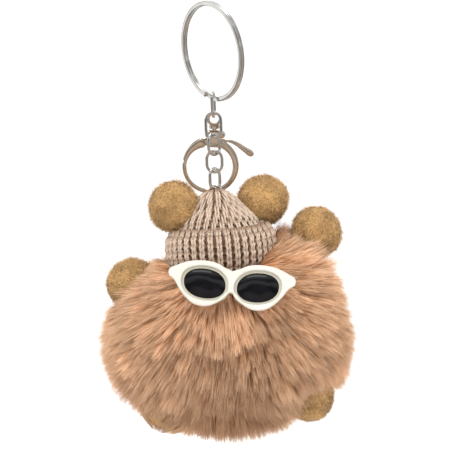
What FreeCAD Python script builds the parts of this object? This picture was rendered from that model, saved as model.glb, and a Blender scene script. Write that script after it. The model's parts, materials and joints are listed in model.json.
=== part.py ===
import FreeCAD, Part
import math
import os
from FreeCAD import Placement, Rotation, Vector

# Plush keychain. Millimetres, +Z up, the front (sunglasses) faces -Y.
# The origin is the inner top of the key ring, where it hangs from a hook.

DIMENSIONS = {
    # split key ring
    "RingOuterRadius": 16.0,
    "RingBand": 1.6,
    "RingCoil": 0.8,
    "RingLean": 7.2,
    "RingYaw": 34.7,
    "ContactAngle": 15.6,
    # chain
    "Wire": 1.0,
    "LinkWidth": 5.8,
    "LongLink": 8.8,
    "ShortLink": 7.6,
    "LinkGap": 0.12,
    "RingLinkLift": 1.85,
    "SideBySide": 1.5,
    "FirstLean": -5.0,
    "ChainLean": 2.7,
    # lobster clasp
    "ClawRadius": 8.9,
    "ClawWire": 1.5,
    "ClawDrop": 16.2,
    "EyeRadius": 1.9,
    "PinRadius": 0.45,
    "ClaspTilt": 15.0,
    "PinHalfLength": 1.5,
    "SpringRadius": 0.85,
    "SpringWire": 0.32,
    # sewn anchor
    "AnchorRadius": 1.9,
    "AnchorWire": 0.9,
    "AnchorYaw": -10.0,
    "CordWidth": 1.2,
    "CordLength": 31.0,
    "DiscRadius": 4.2,
    "DiscThickness": 1.5,
    # fur ball
    "FurHalfWidth": 38.4,
    "FurHalfDepth": 35.0,
    "FurHalfHeight": 33.0,
    "PileThickness": 12.0,
    "BackingThickness": 1.2,
    "NestGap": 0.15,
    "GatherRadius": 5.0,
    "GatherWire": 0.8,
    # knit hat
    "CuffRadius": 17.2,
    "CuffHeight": 12.4,
    "CuffThickness": 2.4,
    "CuffBottom": 18.6,
    "CrownTop": 44.2,
    # felt balls
    "PomRadius": 8.05,
    "StitchRadius": 0.35,
    # sunglasses
    "LensHalfWidth": 6.45,
    "LensHalfHeight": 4.65,
    "LensOffset": 8.15,
    "PadRadius": 3.0,
    "PadThickness": 1.2,
    "FrameThickness": 2.6,
    "GlassesTurn": 9.3,
}

doc = FreeCAD.newDocument("plush_keychain")
sheet = doc.addObject("Spreadsheet::Sheet", "Dimensions")
for row, (alias, value) in enumerate(DIMENSIONS.items(), start=1):
    sheet.set(f"A{row}", alias)
    sheet.set(f"B{row}", str(value))
    sheet.setAlias(f"B{row}", alias)
doc.recompute()

ORIGIN = Vector(0, 0, 0)
RIGHT = Vector(1, 0, 0)
BACK = Vector(0, 1, 0)
UP = Vector(0, 0, 1)
AXIS_BACK = Rotation(RIGHT, -90)
SUBPARTS = []


def dim(alias):
    """A driving dimension, read from the sheet."""
    return float(sheet.get(alias))


def show(name, obj):
    """Marks an object as a sub-part: its label names its node and its file."""
    obj.Label = name
    SUBPARTS.append(obj)
    return obj


def feature(name, shape, place=Placement()):
    obj = doc.addObject("Part::Feature", name)
    obj.Shape = shape
    obj.Placement = place
    return show(name, obj)


def primitive(kind, name, place, **sizes):
    """A Part primitive whose sizes are expressions on the sheet's cells."""
    obj = doc.addObject(kind, name)
    for prop, rule in sizes.items():
        obj.setExpression(prop, rule)
    obj.Placement = place
    return obj


def at(x, y, z):
    return Placement(Vector(x, y, z), Rotation())


def cut(name, base, tools, place=None):
    """A boolean cut of one object by several."""
    tool = tools[0]
    if len(tools) > 1:
        tool = doc.addObject("Part::MultiFuse", name + "_tools")
        tool.Shapes = tools
    obj = doc.addObject("Part::Cut", name)
    obj.Base = base
    obj.Tool = tool
    if place:
        obj.Placement = place
    return obj


def ball(centre, radius):
    return Part.makeSphere(radius, centre)


# ---------------------------------------------------------------- key ring
ring_normal = Rotation(UP, dim("RingYaw")).multVec(Vector(-1, 0, 0))
ring_normal = ring_normal * math.cos(math.radians(dim("RingLean"))) - UP * math.sin(
    math.radians(dim("RingLean"))
)
ring_up = UP - ring_normal * ring_normal.dot(UP)
ring_up.normalize()
ring_side = ring_normal.cross(ring_up)
inner_radius = dim("RingOuterRadius") - dim("RingBand")
middle_radius = dim("RingOuterRadius") - dim("RingBand") / 2
ring_centre = ring_up * -inner_radius


def on_ring(degrees, radius=middle_radius, across=0.0):
    """A point of the ring: 0 degrees is the lowest, growing to the back left."""
    turn = math.radians(degrees)
    out = ring_side * math.sin(turn) - ring_up * math.cos(turn)
    return ring_centre + out * radius + ring_normal * across


def flat_band(start, end, across):
    """One coil's arc: a rounded flat band swept round the ring's axis."""
    band = dim("RingBand")
    coil = dim("RingCoil") * 0.96
    out = on_ring(start) - ring_centre
    out.normalize()
    corner = on_ring(start, inner_radius, across - coil / 2)
    across_edge = corner + ring_normal * coil
    points = [corner, corner + out * band, across_edge + out * band, across_edge]
    profile = Part.Face(Part.makePolygon(points + [corner]))
    solid = profile.revolve(ring_centre, ring_normal * -1, end - start)
    return solid


def split_ring():
    """Two flat coils; near the lowest point only one of them goes on, as a jog."""
    offset = dim("RingCoil") / 2
    half_gap = 15.0
    low = dim("ContactAngle")
    front = flat_band(low + half_gap, low + 360 - half_gap + 9, offset)
    back = flat_band(low + half_gap - 9, low + 360 - half_gap, -offset)
    jog = flat_band(low - half_gap - 2, low + half_gap + 2, 0.0)
    solid = front.fuse([back, jog]).removeSplitter()
    return solid


feature("key_ring", split_ring())
contact = on_ring(dim("ContactAngle"))

# ---------------------------------------------------------------- chain
chain_turn = Rotation(BACK, dim("ChainLean"))


def down_chain(drop):
    """The point of the chain's line at this distance below the ring's band."""
    return contact + chain_turn.multVec(UP * -drop)


def link_place(point, yaw, tilt=0.0):
    """A link's frame: its bottom wire's centre at this point, its plane turned."""
    turn = chain_turn.multiply(Rotation(RIGHT, tilt)).multiply(Rotation(UP, yaw))
    return Placement(point, turn)


def racetrack(length, width, wire):
    """A closed oval wire link in its own XZ plane, bottom wire's centre at 0."""
    radius = (width - wire) / 2
    straight = length - width
    low = Vector(0, 0, radius)
    high = Vector(0, 0, radius + straight)
    tube = Part.makeTorus(radius, wire / 2, ORIGIN, BACK)
    lower = tube.common(Part.makeBox(20, 20, 20, Vector(-10, -10, -20)))
    upper = tube.common(Part.makeBox(20, 20, 20, Vector(-10, -10, 0)))
    lower.translate(low)
    upper.translate(high)
    sides = [
        Part.makeCylinder(wire / 2, straight, Vector(side * radius, 0, radius), UP)
        for side in (-1, 1)
    ]
    return lower.fuse([upper] + sides).removeSplitter()


wire = dim("Wire")
lift = wire + dim("LinkGap")
long_link = racetrack(dim("LongLink"), dim("LinkWidth"), wire)
short_link = racetrack(dim("ShortLink"), dim("LinkWidth"), wire)
RING_LINK_YAW = 80.0
ring_link_place = link_place(
    down_chain(dim("LongLink") - wire - dim("RingLinkLift")), RING_LINK_YAW
)
feature("ring_link", long_link, ring_link_place)


def on_ring_link(along):
    """A point of the ring link's bottom wire, this far along from its middle."""
    bend = (dim("LinkWidth") - wire) / 2
    rise = bend - math.sqrt(bend**2 - along**2)
    return ring_link_place.multVec(Vector(along, 0, rise))


# each link's label, shape, length, yaw of its plane and forward lean
CHAIN = [
    ("chain_link_1", long_link, "LongLink", -4, dim("FirstLean")),
    ("chain_link_2", short_link, "ShortLink", 44, 0.0),
    ("chain_link_3", short_link, "ShortLink", -4, 0.0),
    ("chain_link_4", short_link, "ShortLink", 50, 0.0),
]
hinge_points = [contact, on_ring_link(-dim("SideBySide") / 2)]
for label, shape, length, yaw, lean in CHAIN:
    step = chain_turn.multiply(Rotation(RIGHT, lean)).multVec(UP * (lift - dim(length) + wire))
    hinge_points.append(hinge_points[-1] + step)
    feature(label, shape, link_place(hinge_points[-1], yaw, lean))

# ---------------------------------------------------------------- clasp
# The clasp's own frame: its swivel axis is Z, its claw lies in XZ, and the
# origin is the centre of the ring link's wire that its eye hangs on.
clasp_place = Placement(
    on_ring_link(dim("SideBySide") / 2),
    chain_turn.multiply(Rotation(RIGHT, dim("ClaspTilt"))),
)
eye_radius = dim("EyeRadius")
eye_centre = lift - eye_radius
collar_top = eye_centre - eye_radius - 0.15
neck_bottom = collar_top - 2.6
PIN_X = 0.8
PIN_Z = -8.1
CLAW_X = -1.7
claw_centre = Vector(CLAW_X, 0, -dim("ClawDrop"))
claw_radius = dim("ClawRadius") - dim("ClawWire") / 2
slack = 0.06


def post(radius, low, high, x=0.0, y=0.0):
    return Part.makeCylinder(radius, high - low, Vector(x, y, low), UP)


def slab(x0, x1, y0, y1, z0, z1):
    return Part.makeBox(x1 - x0, y1 - y0, z1 - z0, Vector(x0, y0, z0))


def across_pin(radius, y0, y1):
    """A cylinder on the gate's pin axis, between two depths."""
    return Part.makeCylinder(radius, y1 - y0, Vector(PIN_X, y0, PIN_Z), BACK)


def claw_arc(start, end):
    """The claw's round wire between two angles, measured from +X upward."""
    middle = claw_centre
    radius = claw_radius
    start_turn = math.radians(start)
    place = middle + Vector(math.cos(start_turn) * radius, 0, math.sin(start_turn) * radius)
    along = Vector(-math.sin(start_turn), 0, math.cos(start_turn))
    circle = Part.Face(Part.Wire(Part.makeCircle(dim("ClawWire") / 2, place, along)))
    return circle.revolve(middle, BACK * -1, end - start)


eye = Part.makeTorus(eye_radius, wire / 2, Vector(0, 0, eye_centre), BACK)
swivel = eye.fuse(
    [
        post(1.7, collar_top - 0.9, collar_top),
        post(0.7, neck_bottom, collar_top - 0.5),
        post(1.05, neck_bottom - 0.6, neck_bottom),
    ]
)
feature("clasp_swivel_eye", swivel.removeSplitter(), clasp_place)

boss_top = collar_top - 0.9 - slack * 2
HALF_BOSS = 1.35
SLOT = 0.7
boss = slab(-2.5, 3.4, -HALF_BOSS, HALF_BOSS, -10.0, boss_top)
boss = boss.makeFillet(0.5, [edge for edge in boss.Edges if edge.Length > 3])
boss_cuts = [
    post(0.7 + slack, neck_bottom - 0.1, boss_top + 1),
    post(1.05 + slack, neck_bottom - 0.6 - slack, neck_bottom + slack),
    slab(-4, 2.0, -SLOT, SLOT, -11, -6.55),
    slab(1.9, 5, -SLOT, SLOT, -9.15, -6.3),
    across_pin(dim("PinRadius") + 0.02, -3, 3),
]
# The claw's tip and the gate's nose meet on an arc about the pin, so the nose
# slides past the tip at every angle of the gate.
NOSE_REACH = 12.4
NOSE_GAP = 0.12
boss_cuts.append(across_pin(NOSE_REACH + NOSE_GAP, -2, 2).common(slab(-14, -6, -2, 2, -17.5, -5)))
clasp_body = boss.fuse(claw_arc(-197.0, 60.0)).cut(boss_cuts).removeSplitter()
feature("clasp_body", clasp_body, clasp_place)
pin_start = Placement(Vector(PIN_X, -dim("PinHalfLength"), PIN_Z), AXIS_BACK)
pin = primitive(
    "Part::Cylinder",
    "clasp_pin",
    clasp_place.multiply(pin_start),
    Radius="Dimensions.PinRadius",
    Height="2 * Dimensions.PinHalfLength",
)
show("clasp_pin", pin)


def claw_point(angle, radius):
    turn = math.radians(angle)
    return claw_centre + Vector(math.cos(turn) * radius, 0, math.sin(turn) * radius)


def tapered_arm(stations):
    """A loft through round sections: each has a centre, a tangent and a radius."""
    rings = [
        Part.Wire(Part.makeCircle(radius, centre, along)) for centre, along, radius in stations
    ]
    return Part.makeLoft(rings, True)


def gate_station(angle, radius):
    turn = math.radians(angle)
    return (claw_point(angle, claw_radius), Vector(-math.sin(turn), 0, math.cos(turn)), radius)


arm = tapered_arm([gate_station(180.0 - 13.0 * step, 0.62 + 0.11 * step) for step in range(6)])
arm = arm.common(across_pin(NOSE_REACH, -2, 2))
hub = across_pin(1.35, -SLOT + slack, 0.2)
neck = tapered_arm([gate_station(115, 1.17), gate_station(100, 1.2), gate_station(82, 1.1)])
web = neck.common(slab(-6, 2.0, -SLOT + slack, SLOT - slack, -12, -5))
lever_line = [
    (PIN_X, PIN_Z, 0.6),
    (4.3, -8.0, 0.58),
    (7.0, -9.2, 0.62),
    (9.2, -10.8, 0.72),
    (11.2, -12.2, 0.95),
]
lever_points = [Vector(x, 0, z) for x, z, radius in lever_line]
lever = ball(lever_points[-1], lever_line[-1][2] + 0.12)
for low, high, line in zip(lever_points, lever_points[1:], lever_line[1:]):
    along = high - low
    lever = lever.fuse([Part.makeCylinder(line[2], along.Length, low, along), ball(high, line[2])])
lever = lever.common(
    slab(-1, 4.0, -SLOT + slack, SLOT - slack, -20, 0).fuse(slab(4.0, 20, -3, 3, -20, 0))
)
gate = arm.fuse([hub, web, lever]).cut(across_pin(dim("PinRadius") + 0.05, -3, 3))
gate = gate.cut(across_pin(1.2, 0.2, 3))
feature("clasp_gate", gate.removeSplitter(), clasp_place)
spring = primitive(
    "Part::Torus",
    "clasp_spring",
    clasp_place.multiply(Placement(Vector(PIN_X, 0.45, PIN_Z), AXIS_BACK)),
    Radius1="Dimensions.SpringRadius",
    Radius2="Dimensions.SpringWire / 2",
)
show("clasp_spring", spring)

# ---------------------------------------------------------------- sewn anchor
anchor_radius = dim("AnchorRadius")
anchor_wire = dim("AnchorWire")
anchor_top = hinge_points[5] + UP * (wire / 2 + anchor_wire / 2 + dim("LinkGap"))
anchor_centre = anchor_top - UP * anchor_radius
anchor_turn = Rotation(UP, dim("AnchorYaw")).multiply(AXIS_BACK)
anchor = primitive(
    "Part::Torus",
    "anchor_ring",
    Placement(anchor_centre, anchor_turn),
    Radius1="Dimensions.AnchorRadius",
    Radius2="Dimensions.AnchorWire / 2",
)
show("anchor_ring", anchor)

# ---------------------------------------------------------------- plush frame
ball_centre = Vector(-0.36, hinge_points[5].y + 0.3, -102.2)


def plush(x, y, z):
    """A point given from the fur ball's centre."""
    return ball_centre + Vector(x, y, z)


def ellipsoid(name, grow):
    """An ellipsoid round the fur ball's centre, its pile's surface plus grow."""
    obj = doc.addObject("Part::Ellipsoid", name)
    obj.setExpression("Radius1", f"Dimensions.FurHalfHeight + {grow}")
    obj.setExpression("Radius2", f"Dimensions.FurHalfWidth + {grow}")
    obj.setExpression("Radius3", f"Dimensions.FurHalfDepth + {grow}")
    obj.Angle1 = -90
    obj.Angle2 = 90
    obj.Angle3 = 360
    obj.Placement = Placement(ball_centre, Rotation())
    return obj


POMS = {
    "left_ear": (-14.0, -2.0, 39.8),
    "right_ear": (14.5, 5.0, 40.1),
    "left_hand": (-28.7, 2.0, 16.7),
    "right_hand": (30.4, 4.0, 28.8),
    "left_foot": (-19.5, -12.0, -21.5),
    "right_foot": (24.2, -1.0, -22.3),
}
clearance = dim("NestGap")
fur_tools = []
for label, place in POMS.items():
    pom = primitive("Part::Sphere", label, at(*plush(*place)), Radius="Dimensions.PomRadius")
    show(label, pom)
    room = primitive(
        "Part::Sphere",
        label + "_room",
        at(*plush(*place)),
        Radius="Dimensions.PomRadius + Dimensions.NestGap",
    )
    fur_tools.append(room)

# ---------------------------------------------------------------- knit hat
cuff_axis = plush(-0.4, 0, 0)


def revolved(points, centre=cuff_axis):
    """A solid of revolution about the hat's axis from (radius, height) points."""
    wire_points = [Vector(r, 0, h) for r, h in points]
    face = Part.Face(Part.makePolygon(wire_points + wire_points[:1]))
    solid = face.revolve(ORIGIN, UP, 360)
    solid.translate(centre)
    return solid


bottom = dim("CuffBottom")
top = bottom + dim("CuffHeight")
cuff_outer = dim("CuffRadius")
cuff_inner = cuff_outer - dim("CuffThickness")
tip = dim("CrownTop")
cuff_shape = revolved(
    [
        (cuff_inner, bottom),
        (cuff_outer - 0.9, bottom),
        (cuff_outer, bottom + 1.2),
        (cuff_outer, top - 1.6),
        (cuff_outer - 1.0, top),
        (cuff_inner + 0.2, top),
        (cuff_inner, top - 0.8),
    ]
)
crown_outline = [(14.2, 0.0), (14.2, 11.8), (13.0, 14.4), (9.7, 18.6), (6.1, 22.4), (3.8, 24.7)]
crown_solid = [(0, bottom)] + [(r, bottom + h) for r, h in crown_outline] + [(0, tip)]
inner_outline = [(r - 2.0, bottom + h) for r, h in crown_outline if r > 5]
crown_hollow = [(0, bottom - 1)] + [(12.2, bottom - 1)] + inner_outline + [(0, bottom + 22.0)]
crown_shape = revolved(crown_solid).cut(revolved(crown_hollow))
stuffing_outline = [(r - 2.0 - clearance, bottom + h - 0.3) for r, h in crown_outline if r > 5]
stuffing_points = [(0, bottom + 6)] + [(11.6, bottom + 6)] + stuffing_outline[1:]
hat_stuffing_shape = revolved(stuffing_points + [(0, bottom + 20.0)])

front_room = Part.makeBox(
    2 * cuff_outer - 4, 40, 20, cuff_axis + Vector(2 - cuff_outer, -40, bottom - clearance)
)
hat_room = revolved(
    [
        (0, bottom - clearance),
        (cuff_outer + clearance, bottom - clearance),
        (cuff_outer + clearance, top + clearance),
        (0, tip + clearance),
    ]
)

# ---------------------------------------------------------------- sunglasses
LENS_DOME = 0.9
DOME_RADIUS = 17.0
GLASSES_LEAN = -14
lens_offset = dim("LensOffset")
glasses_centre = plush(2.35, -33.6, 14.6)
glasses_turn = Rotation(RIGHT, GLASSES_LEAN).multiply(Rotation(BACK, dim("GlassesTurn")))
glasses_place = Placement(glasses_centre, glasses_turn)
half_width = dim("LensHalfWidth")
half_height = dim("LensHalfHeight")
frame_thickness = dim("FrameThickness")


def eye_outline(side, grow, depth):
    """The closed edge of one almond-shaped eye, drawn at this depth."""
    wide = half_width + grow
    high = half_height + grow
    centre = side * lens_offset
    points = []
    for step in range(12):
        turn = math.radians(30 * step)
        lean = 0.12 * wide * math.sin(turn) * side
        x = centre + wide * math.cos(turn) + lean
        points.append(Vector(x, depth, high * math.sin(turn)))
    curve = Part.BSplineCurve()
    curve.interpolate(points, PeriodicFlag=True)
    return Part.Wire(curve.toShape())


def prism(outline, start, length):
    face = Part.Face(outline)
    face.translate(BACK * start)
    return face.extrude(BACK * length)


def frame_outline():
    """Half of the cat-eye front: bridge notch, brow, tip, lower rim."""
    half = [
        (0.0, 4.5),
        (2.3, 5.3),
        (4.8, 6.5),
        (7.8, 7.0),
        (10.9, 6.9),
        (14.2, 6.2),
        (17.8, 4.6),
        (19.2, 3.4),
        (19.3, 2.2),
        (18.0, 0.9),
        (17.0, -0.3),
        (15.9, -2.0),
        (14.0, -4.3),
        (11.6, -6.2),
        (8.7, -7.0),
        (5.9, -6.6),
        (3.1, -5.0),
        (1.2, -3.0),
        (0.0, -2.3),
    ]
    left = [(-x, z) for x, z in reversed(half[1:-1])]
    points = [Vector(x, 0, z) for x, z in half + left]
    curve = Part.BSplineCurve()
    curve.interpolate(points, PeriodicFlag=True)
    return Part.Wire(curve.toShape())


def sunglasses_frame():
    body = prism(frame_outline(), 0, frame_thickness)
    for side in (-1, 1):
        body = body.cut(prism(eye_outline(side, 0.6, 0), -1, 1.9))
        body = body.cut(prism(eye_outline(side, -0.9, 0), -1, frame_thickness + 2))
    return body


def lens(side):
    """A black lens: it sits on the rim's step and its front face is a dome."""
    plate = prism(eye_outline(side, 0.45, 0), -LENS_DOME, LENS_DOME + 0.85)
    dome = ball(Vector(side * lens_offset, DOME_RADIUS - LENS_DOME, 0), DOME_RADIUS)
    return plate.common(dome)


feature("sunglasses_frame", sunglasses_frame(), glasses_place)
for label, side in (("left_lens", -1), ("right_lens", 1)):
    feature(label, lens(side), glasses_place)
pads = []
for label, side in (("left_pad", -1), ("right_pad", 1)):
    pad_start = Placement(Vector(side * lens_offset, frame_thickness + 0.05, 0), AXIS_BACK)
    pad = primitive(
        "Part::Cylinder",
        label,
        glasses_place.multiply(pad_start),
        Radius="Dimensions.PadRadius",
        Height="Dimensions.PadThickness",
    )
    pads.append(pad)
glue_pads = doc.addObject("Part::Compound", "glue_pads")
glue_pads.Links = pads
show("glue_pads", glue_pads)
glasses_room = prism(frame_outline(), -20, 20 + frame_thickness + clearance)
PAD_ROOM_DEPTH = 4.1
pad_rooms = []
for side in (-1, 1):
    room_start = Vector(side * lens_offset, 0, 0)
    pad_rooms.append(Part.makeCylinder(dim("PadRadius") + clearance, PAD_ROOM_DEPTH, room_start, BACK))
glasses_room = glasses_room.fuse(pad_rooms)
glasses_room.Placement = glasses_place

# ---------------------------------------------------------------- fur ball
outer_pile = ellipsoid("fur_outer", "0")
under_pile = ellipsoid("fur_under", "0 - Dimensions.PileThickness")
backing_outer = ellipsoid("backing_outer", "0 - Dimensions.PileThickness - Dimensions.NestGap")
backing_inner = ellipsoid(
    "backing_inner",
    "0 - Dimensions.PileThickness - Dimensions.NestGap - Dimensions.BackingThickness",
)
core = ellipsoid(
    "core",
    "0 - Dimensions.PileThickness - 2 * Dimensions.NestGap - Dimensions.BackingThickness",
)
hat_tool = doc.addObject("Part::Feature", "hat_room")
hat_tool.Shape = hat_room.fuse(front_room)
glasses_tool = doc.addObject("Part::Feature", "glasses_room")
glasses_tool.Shape = glasses_room
HOLE_HEIGHT = 25
gather_hole = primitive(
    "Part::Cylinder", "gather_hole", at(*plush(-0.4, 0, 10)), Radius="Dimensions.GatherRadius"
)
gather_hole.Height = HOLE_HEIGHT
fur_pile = cut("fur_pile", outer_pile, [under_pile, hat_tool, glasses_tool] + fur_tools)
show("fur_pile", fur_pile)
backing = cut("fur_backing", backing_outer, [backing_inner, gather_hole])
show("fur_backing", backing)
core_hole = primitive(
    "Part::Cylinder", "core_hole", at(*plush(-0.4, 0, 6)), Radius="Dimensions.GatherRadius"
)
core_hole.Height = HOLE_HEIGHT
stuffing = cut("stuffing_core", core, [core_hole])
show("stuffing_core", stuffing)
gather = primitive(
    "Part::Torus",
    "gather_thread",
    at(*plush(-0.4, 0, 20.0)),
    Radius1="Dimensions.GatherRadius - 0.6",
    Radius2="Dimensions.GatherWire / 2",
)
show("gather_thread", gather)

# ---------------------------------------------------------------- hat pieces
ear_rooms = [
    ball(plush(*POMS[label]), dim("PomRadius") + clearance) for label in ("left_ear", "right_ear")
]
anchor_room = Part.makeSphere(anchor_radius + anchor_wire / 2 + clearance, anchor_centre)
cord_room = Part.makeCylinder(dim("CordWidth") / 2 + clearance, 45, plush(-0.4, 0, 3), UP)
hat_cuts = ear_rooms + [anchor_room, cord_room]
feature("hat_crown", crown_shape.cut(hat_cuts))
feature("hat_cuff", cuff_shape.cut(ear_rooms))
feature("hat_stuffing", hat_stuffing_shape.cut(hat_cuts))
hanging_cord = primitive(
    "Part::Cylinder",
    "hanging_cord",
    at(*plush(-0.4, 0, 10)),
    Radius="Dimensions.CordWidth / 2",
    Height="Dimensions.CordLength",
)
show("hanging_cord", hanging_cord)
disc = primitive(
    "Part::Cylinder",
    "cord_anchor_disc",
    at(*plush(-0.4, 0, 8.4)),
    Radius="Dimensions.DiscRadius",
    Height="Dimensions.DiscThickness",
)
show("cord_anchor_disc", disc)

# sewing threads: each runs from the middle of its ball into the stuffing
def stitch(label, start, end):
    """A sewing thread between two points."""
    along = end - start
    thread = primitive(
        "Part::Cylinder",
        label + "_stitch",
        Placement(start, Rotation(UP, along)),
        Radius="Dimensions.StitchRadius",
    )
    thread.Height = along.Length
    show(label + "_stitch", thread)


STITCH_END = 14.0
for label in ("left_hand", "right_hand", "left_foot", "right_foot"):
    start = plush(*POMS[label])
    outward = start - ball_centre
    outward.normalize()
    stitch(label, start, ball_centre + outward * STITCH_END)
stitch("left_ear", plush(*POMS["left_ear"]), plush(-4, -1, 33))
stitch("right_ear", plush(*POMS["right_ear"]), plush(4, 2, 33))

# ---------------------------------------------------------------- write
doc.recompute()
os.makedirs("parts", exist_ok=True)
for obj in doc.Objects:
    if "Invalid" in obj.State or "Error" in obj.State:
        raise RuntimeError(f"{obj.Label} failed: {obj.State}")
for obj in SUBPARTS:
    shape = obj.Shape
    if shape.isNull() or not shape.isValid():
        raise RuntimeError(f"{obj.Label} has no valid shape")
    shape.exportStep(f"parts/{obj.Label}.step")
    print(f"{obj.Label}: {len(shape.Solids)} solids, {shape.Volume:.1f} mm3")
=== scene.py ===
import json
import math

import bmesh
import bpy
import numpy as np
from mathutils import Matrix, Vector
from mathutils.kdtree import KDTree


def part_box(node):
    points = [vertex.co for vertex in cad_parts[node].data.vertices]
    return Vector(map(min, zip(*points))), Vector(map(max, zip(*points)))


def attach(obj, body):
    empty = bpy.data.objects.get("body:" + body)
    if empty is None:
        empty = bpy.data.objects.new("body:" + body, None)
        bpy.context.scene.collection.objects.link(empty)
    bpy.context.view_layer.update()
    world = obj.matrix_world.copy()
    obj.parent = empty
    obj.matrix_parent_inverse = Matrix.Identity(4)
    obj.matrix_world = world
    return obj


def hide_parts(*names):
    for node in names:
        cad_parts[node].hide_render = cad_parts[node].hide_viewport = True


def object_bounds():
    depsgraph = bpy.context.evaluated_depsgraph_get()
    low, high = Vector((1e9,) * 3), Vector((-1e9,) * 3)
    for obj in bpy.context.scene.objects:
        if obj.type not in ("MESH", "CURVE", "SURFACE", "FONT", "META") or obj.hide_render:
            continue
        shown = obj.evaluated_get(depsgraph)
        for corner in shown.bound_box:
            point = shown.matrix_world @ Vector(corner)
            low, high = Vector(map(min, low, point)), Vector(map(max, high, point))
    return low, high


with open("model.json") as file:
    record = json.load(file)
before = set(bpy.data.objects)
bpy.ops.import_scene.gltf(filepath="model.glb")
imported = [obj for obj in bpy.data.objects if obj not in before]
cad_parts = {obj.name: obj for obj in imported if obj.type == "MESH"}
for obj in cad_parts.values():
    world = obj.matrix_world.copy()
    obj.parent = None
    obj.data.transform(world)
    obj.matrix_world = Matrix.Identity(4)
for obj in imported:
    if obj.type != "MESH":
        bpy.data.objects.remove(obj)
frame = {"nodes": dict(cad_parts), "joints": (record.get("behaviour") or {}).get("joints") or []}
cad_low, cad_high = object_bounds()

# All shapes below are worked out in millimetres in the row's frame.
MM = 0.001
rng = np.random.default_rng(7)
JOINTS = {joint["name"]: joint for joint in frame["joints"]}


CLAW_X = -1.7
CLAW_SIZE = 8.9


def corners(node):
    """A CAD node's lowest and highest corner in millimetres."""
    low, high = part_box(node)
    return np.array(low) / MM, np.array(high) / MM


def hinge(name):
    """A joint's point (mm) and axis."""
    joint = JOINTS[name]
    return np.array(joint["pos_m"]) / MM, np.array(joint["axis"])


def unit(v):
    v = np.asarray(v, float)
    return v / np.maximum(np.linalg.norm(v, axis=-1, keepdims=True), 1e-9)


def bell(value, centre, width):
    return np.exp(-(((value - centre) / width) ** 2))


def smooth_path(points, per_span):
    """An open Catmull-Rom curve through the points."""
    p = np.vstack([2 * points[0] - points[1], points, 2 * points[-1] - points[-2]])
    curve = []
    for step in range(1, len(p) - 2):
        for t in np.linspace(0, 1, per_span, endpoint=False):
            before, here, after, later = p[step - 1 : step + 3]
            curve.append(
                0.5
                * (
                    2 * here
                    + (after - before) * t
                    + (2 * before - 5 * here + 4 * after - later) * t**2
                    + (3 * here - before - 3 * after + later) * t**3
                )
            )
    return np.array(curve + [points[-1]])


# ---------------------------------------------------------------- materials
def new_material(name, **settings):
    """A Principled material. Settings are values of the shader's own sockets."""
    material = bpy.data.materials.new(name)
    material.use_nodes = True
    shader = material.node_tree.nodes["Principled BSDF"]
    for socket, value in settings.items():
        shader.inputs[socket.replace("_", " ")].default_value = value
    return material, material.node_tree, shader


def add(tree, kind, **values):
    node = tree.nodes.new(kind)
    for name, value in values.items():
        if name in node.inputs:
            node.inputs[name].default_value = value
        else:
            setattr(node, name, value)
    return node


def ramp(tree, source, stops):
    node = add(tree, "ShaderNodeValToRGB")
    elements = node.color_ramp.elements
    while len(elements) < len(stops):
        elements.new(0.5)
    for element, (place, colour) in zip(elements, stops):
        element.position = place
        element.color = (*colour, 1.0)
    tree.links.new(source, node.inputs["Fac"])
    return node.outputs["Color"]


def noise(tree, scale, detail=3.0, vector=None):
    node = add(tree, "ShaderNodeTexNoise", Scale=scale, Detail=detail)
    if vector is None:
        vector = add(tree, "ShaderNodeTexCoord").outputs["Object"]
    tree.links.new(vector, node.inputs["Vector"])
    return node.outputs["Fac"]


def mix(tree, blend, factor, one, other):
    node = add(tree, "ShaderNodeMix", data_type="RGBA", blend_type=blend)
    node.inputs["Factor"].default_value = factor
    for socket, value in ((node.inputs["A"], one), (node.inputs["B"], other)):
        if isinstance(value, bpy.types.NodeSocket):
            tree.links.new(value, socket)
        else:
            socket.default_value = (*value, 1.0)
    return node.outputs["Result"]


def bump(tree, shader, height, strength, distance):
    node = add(tree, "ShaderNodeBump", Strength=strength, Distance=distance)
    tree.links.new(height, node.inputs["Height"])
    tree.links.new(node.outputs["Normal"], shader.inputs["Normal"])


def roughness(tree, shader, source, low, high):
    node = add(tree, "ShaderNodeMapRange")
    node.inputs["To Min"].default_value = low
    node.inputs["To Max"].default_value = high
    tree.links.new(source, node.inputs["Value"])
    tree.links.new(node.outputs["Result"], shader.inputs["Roughness"])


def polished_nickel(name, light, dark, low, high):
    """Plated metal: faint clouding of the plating and fine rubbing marks."""
    material, tree, shader = new_material(name, Metallic=1.0, Specular_IOR_Level=0.6)
    cloud = noise(tree, 260.0, 4.0)
    tree.links.new(ramp(tree, cloud, [(0.3, dark), (0.7, light)]), shader.inputs["Base Color"])
    rubbed = noise(tree, 1900.0, 5.0)
    roughness(tree, shader, rubbed, low, high)
    bump(tree, shader, rubbed, 0.06, 0.00008)
    return material


def strand_material(name, stops, sheen, rough, tint):
    """Fibres: colour runs along V and differs from fibre to fibre (U). V runs root to tip on fur and felt; on
    the yarn it is painted shade, darker where the yarn dips in. U also carries painted light and shade given
    per fibre.
    """
    material, tree, shader = new_material(name, Roughness=rough, Specular_IOR_Level=0.25)
    shader.inputs["Sheen Weight"].default_value = sheen
    shader.inputs["Sheen Roughness"].default_value = 0.5
    shader.inputs["Sheen Tint"].default_value = (*tint, 1.0)
    uv = add(tree, "ShaderNodeUVMap", uv_map="OFBake").outputs["UV"]
    split = add(tree, "ShaderNodeSeparateXYZ")
    tree.links.new(uv, split.inputs["Vector"])
    along = ramp(tree, split.outputs["Y"], stops)
    tone = ramp(
        tree,
        split.outputs["X"],
        [(0.0, (0.55, 0.49, 0.45)), (0.5, (0.9, 0.9, 0.88)), (1.0, (1.2, 1.2, 1.18))],
    )
    colour = mix(tree, "MULTIPLY", 1.0, along, tone)
    tree.links.new(colour, shader.inputs["Base Color"])
    return material


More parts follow.
